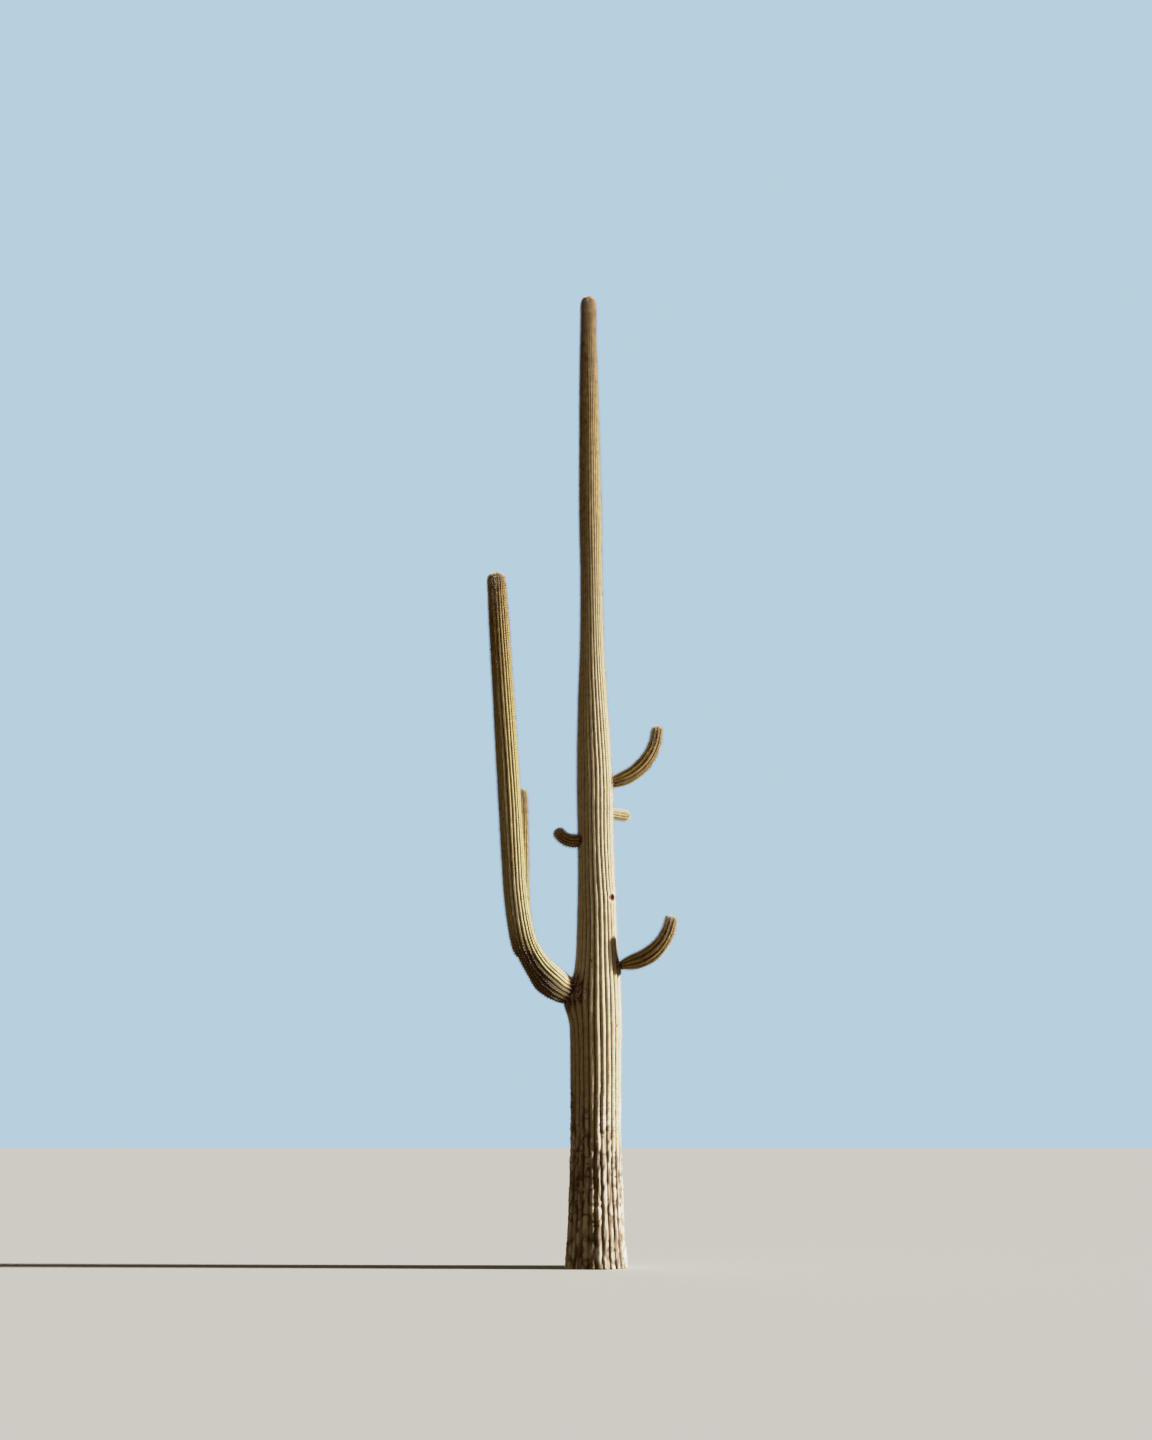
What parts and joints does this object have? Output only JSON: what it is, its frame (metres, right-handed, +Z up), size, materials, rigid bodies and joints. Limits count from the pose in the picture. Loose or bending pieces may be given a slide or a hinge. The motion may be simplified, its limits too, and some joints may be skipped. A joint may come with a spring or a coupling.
{
  "type": "saguaro cactus",
  "caption": "Tall ribbed columnar desert cactus with long upturned arms and short young arms, flat cut at ground level.",
  "frame": {"origin": "where the trunk's axis meets level ground, on the flat cut under the trunk", "axes": "+Z up along the trunk, +X towards the two curved arms on the picture's right, +Y away from the picture's viewer"},
  "size_m": [2.2872, 1.5919, 12.01],
  "materials": {
    "trunk_skin": "waxy ribbed plant skin, corky grey bark towards the ground",
    "arm_skin": "waxy ribbed plant skin, paler towards the tips",
    "spines": "matt straw to grey spines"
  },
  "bodies": {
    "root": {"trunk": "trunk_skin", "left_arm_elbow": "arm_skin", "left_arm_upright": "arm_skin", "rear_arm_elbow": "arm_skin", "rear_arm_upright": "arm_skin", "lower_right_arm": "arm_skin", "upper_right_arm": "arm_skin", "right_bud_arm": "arm_skin", "left_stub_arm": "arm_skin"}
  },
  "joints": []
}
